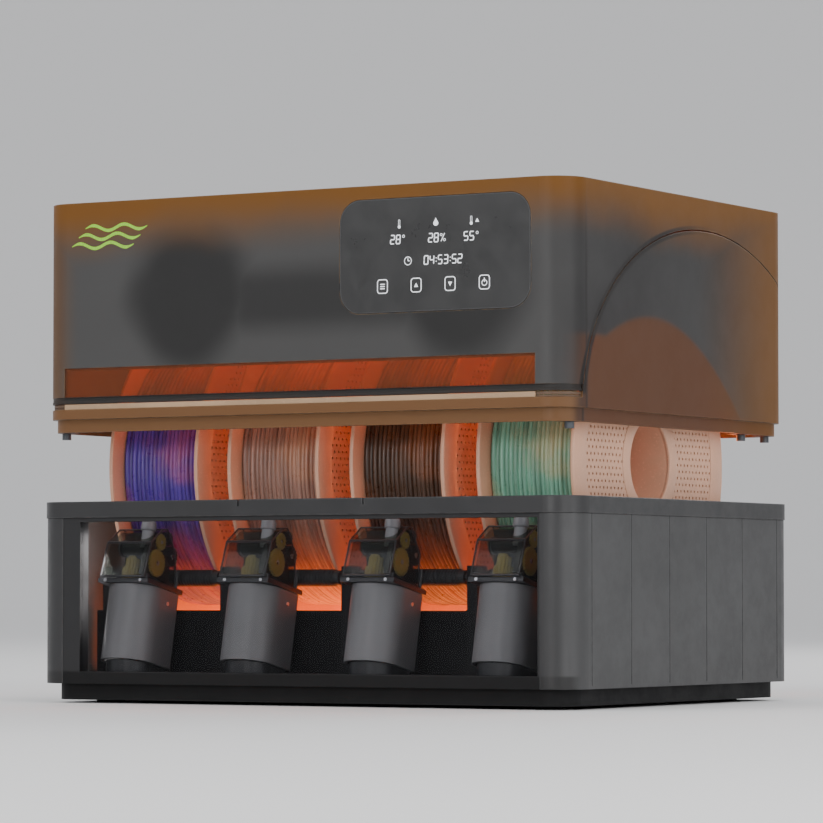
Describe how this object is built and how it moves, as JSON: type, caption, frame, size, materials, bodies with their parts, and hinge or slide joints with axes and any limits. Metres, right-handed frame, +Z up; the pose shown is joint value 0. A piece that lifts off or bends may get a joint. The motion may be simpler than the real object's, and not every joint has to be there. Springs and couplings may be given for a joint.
{
  "type": "filament dryer box",
  "caption": "Heated drying box for spools of filament: a base with rollers and feeders, under a lift-off heater unit with a flip-up lid.",
  "frame": {"origin": "middle of the footprint, on the surface the feet stand on", "axes": "+X right, +Y back, +Z up, front faces -Y"},
  "size_m": [0.38, 0.298, 0.309],
  "materials": {
    "black_plastic": "moulded black plastic, satin",
    "foot_rubber": "soft matte rubber",
    "base_grey": "fine textured dark grey plastic",
    "rim_grey": "satin dark grey plastic",
    "window_clear": "clear moulded window, lightly smoked",
    "steel": "plated steel",
    "smoked_amber": "translucent smoked plastic, warm at the edges",
    "seal_pale": "pale silicone",
    "peg_grey": "moulded plastic",
    "amber_clear": "clear window, warm tint",
    "liner_grey": "pale grey moulded plastic",
    "panel_gloss": "smoked glossy touch panel",
    "board_green": "circuit board with solder mask",
    "impeller_grey": "moulded plastic",
    "heater_copper": "finned metal heater",
    "spool_card": "pale perforated spool plastic",
    "filament_blue": "wound filament",
    "filament_brown": "wound filament",
    "filament_black": "wound filament",
    "filament_green": "wound filament",
    "roller_rubber": "rubber sleeve on a shaft",
    "hood_grey": "fine textured grey plastic",
    "cover_smoke": "smoked clear plastic",
    "core_black": "moulded black plastic",
    "gear_bronze": "sintered bronze",
    "inlet_grey": "light grey plastic"
  },
  "bodies": {
    "base": {"base_pan": "black_plastic", "base_feet": "foot_rubber", "base_shell": "base_grey", "base_rim": "rim_grey", "window_frame": "black_plastic", "front_window": "window_clear", "bay_tray": "black_plastic", "outlet_fitting": "black_plastic", "base_screws": "steel", "feeder_hood_1": "hood_grey", "feeder_cover_1": "cover_smoke", "feeder_core_1": "core_black", "feeder_hood_2": "hood_grey", "feeder_cover_2": "cover_smoke", "feeder_core_2": "core_black", "feeder_hood_3": "hood_grey", "feeder_cover_3": "cover_smoke", "feeder_core_3": "core_black", "feeder_hood_4": "hood_grey", "feeder_cover_4": "cover_smoke", "feeder_core_4": "core_black"},
    "heater_unit": {"heater_frame": "smoked_amber", "frame_seal": "seal_pale", "locating_pegs": "peg_grey", "hinge_pin": "steel", "power_inlet": "black_plastic"},
    "lid": {"lid_shell": "smoked_amber", "lid_window": "amber_clear", "lid_liner": "liner_grey", "touch_panel": "panel_gloss", "control_board": "board_green", "blower_housings": "black_plastic", "air_duct": "black_plastic", "heater_core": "heater_copper"},
    "impeller_left": {"impeller_left": "impeller_grey"},
    "impeller_right": {"impeller_right": "impeller_grey"},
    "spool_1": {"spool_1": "spool_card", "filament_1": "filament_blue"},
    "front_roller_1": {"front_roller_1": "roller_rubber"},
    "rear_roller_1": {"rear_roller_1": "roller_rubber"},
    "feed_gear_1": {"feed_gear_1": "gear_bronze"},
    "inlet_button_1": {"inlet_button_1": "inlet_grey"},
    "spool_2": {"spool_2": "spool_card", "filament_2": "filament_brown"},
    "front_roller_2": {"front_roller_2": "roller_rubber"},
    "rear_roller_2": {"rear_roller_2": "roller_rubber"},
    "feed_gear_2": {"feed_gear_2": "gear_bronze"},
    "inlet_button_2": {"inlet_button_2": "inlet_grey"},
    "spool_3": {"spool_3": "spool_card", "filament_3": "filament_black"},
    "front_roller_3": {"front_roller_3": "roller_rubber"},
    "rear_roller_3": {"rear_roller_3": "roller_rubber"},
    "feed_gear_3": {"feed_gear_3": "gear_bronze"},
    "inlet_button_3": {"inlet_button_3": "inlet_grey"},
    "spool_4": {"spool_4": "spool_card", "filament_4": "filament_green"},
    "front_roller_4": {"front_roller_4": "roller_rubber"},
    "rear_roller_4": {"rear_roller_4": "roller_rubber"},
    "feed_gear_4": {"feed_gear_4": "gear_bronze"},
    "inlet_button_4": {"inlet_button_4": "inlet_grey"}
  },
  "joints": [
    {"name": "unit_lift", "type": "slide", "parent": "base", "child": "heater_unit", "axis": [0, 0, 1], "range_m": [-0.0507, 0.2]},
    {"name": "lid_hinge", "type": "hinge", "parent": "heater_unit", "child": "lid", "pos_m": [0, 0.1435, 0.247], "axis": [-1, 0, 0], "range_deg": [0, 65]},
    {"name": "impeller_left_spin", "type": "hinge", "parent": "lid", "child": "impeller_left", "pos_m": [-0.075, -0.132, 0.249], "axis": [0, 1, 0], "continuous": true},
    {"name": "impeller_right_spin", "type": "hinge", "parent": "lid", "child": "impeller_right", "pos_m": [0.116, -0.132, 0.249], "axis": [0, 1, 0], "continuous": true},
    {"name": "spool_1_spin", "type": "hinge", "parent": "base", "child": "spool_1", "pos_m": [-0.127, -0.013, 0.146], "axis": [1, 0, 0], "continuous": true},
    {"name": "front_roller_1_spin", "type": "hinge", "parent": "base", "child": "front_roller_1", "pos_m": [-0.127, -0.09, 0.07699], "axis": [1, 0, 0], "continuous": true},
    {"name": "rear_roller_1_spin", "type": "hinge", "parent": "base", "child": "rear_roller_1", "pos_m": [-0.127, 0.064, 0.07699], "axis": [1, 0, 0], "continuous": true},
    {"name": "feed_gear_1_spin", "type": "hinge", "parent": "base", "child": "feed_gear_1", "pos_m": [-0.1365, -0.11979, 0.07962], "axis": [0, 0.2079, 0.9781], "continuous": true},
    {"name": "inlet_1_press", "type": "slide", "parent": "base", "child": "inlet_button_1", "axis": [0, -0.2079, -0.9781], "range_m": [0, 0.003], "stiffness_N_per_m": 400},
    {"name": "spool_2_spin", "type": "hinge", "parent": "base", "child": "spool_2", "pos_m": [-0.039, -0.013, 0.146], "axis": [1, 0, 0], "continuous": true},
    {"name": "front_roller_2_spin", "type": "hinge", "parent": "base", "child": "front_roller_2", "pos_m": [-0.039, -0.09, 0.07699], "axis": [1, 0, 0], "continuous": true},
    {"name": "rear_roller_2_spin", "type": "hinge", "parent": "base", "child": "rear_roller_2", "pos_m": [-0.039, 0.064, 0.07699], "axis": [1, 0, 0], "continuous": true},
    {"name": "feed_gear_2_spin", "type": "hinge", "parent": "base", "child": "feed_gear_2", "pos_m": [-0.0485, -0.11979, 0.07962], "axis": [0, 0.2079, 0.9781], "continuous": true},
    {"name": "inlet_2_press", "type": "slide", "parent": "base", "child": "inlet_button_2", "axis": [0, -0.2079, -0.9781], "range_m": [0, 0.003], "stiffness_N_per_m": 400},
    {"name": "spool_3_spin", "type": "hinge", "parent": "base", "child": "spool_3", "pos_m": [0.049, -0.013, 0.146], "axis": [1, 0, 0], "continuous": true},
    {"name": "front_roller_3_spin", "type": "hinge", "parent": "base", "child": "front_roller_3", "pos_m": [0.049, -0.09, 0.07699], "axis": [1, 0, 0], "continuous": true},
    {"name": "rear_roller_3_spin", "type": "hinge", "parent": "base", "child": "rear_roller_3", "pos_m": [0.049, 0.064, 0.07699], "axis": [1, 0, 0], "continuous": true},
    {"name": "feed_gear_3_spin", "type": "hinge", "parent": "base", "child": "feed_gear_3", "pos_m": [0.0395, -0.11979, 0.07962], "axis": [0, 0.2079, 0.9781], "continuous": true},
    {"name": "inlet_3_press", "type": "slide", "parent": "base", "child": "inlet_button_3", "axis": [0, -0.2079, -0.9781], "range_m": [0, 0.003], "stiffness_N_per_m": 400},
    {"name": "spool_4_spin", "type": "hinge", "parent": "base", "child": "spool_4", "pos_m": [0.137, -0.013, 0.146], "axis": [1, 0, 0], "continuous": true},
    {"name": "front_roller_4_spin", "type": "hinge", "parent": "base", "child": "front_roller_4", "pos_m": [0.137, -0.09, 0.07699], "axis": [1, 0, 0], "continuous": true},
    {"name": "rear_roller_4_spin", "type": "hinge", "parent": "base", "child": "rear_roller_4", "pos_m": [0.137, 0.064, 0.07699], "axis": [1, 0, 0], "continuous": true},
    {"name": "feed_gear_4_spin", "type": "hinge", "parent": "base", "child": "feed_gear_4", "pos_m": [0.1275, -0.11979, 0.07962], "axis": [0, 0.2079, 0.9781], "continuous": true},
    {"name": "inlet_4_press", "type": "slide", "parent": "base", "child": "inlet_button_4", "axis": [0, -0.2079, -0.9781], "range_m": [0, 0.003], "stiffness_N_per_m": 400}
  ],
  "couplings": [
    {"joint": "front_roller_1_spin", "follows": "spool_1_spin", "ratio": -18.846},
    {"joint": "rear_roller_1_spin", "follows": "spool_1_spin", "ratio": -18.846},
    {"joint": "front_roller_2_spin", "follows": "spool_2_spin", "ratio": -18.846},
    {"joint": "rear_roller_2_spin", "follows": "spool_2_spin", "ratio": -18.846},
    {"joint": "front_roller_3_spin", "follows": "spool_3_spin", "ratio": -18.846},
    {"joint": "rear_roller_3_spin", "follows": "spool_3_spin", "ratio": -18.846},
    {"joint": "front_roller_4_spin", "follows": "spool_4_spin", "ratio": -18.846},
    {"joint": "rear_roller_4_spin", "follows": "spool_4_spin", "ratio": -18.846}
  ]
}
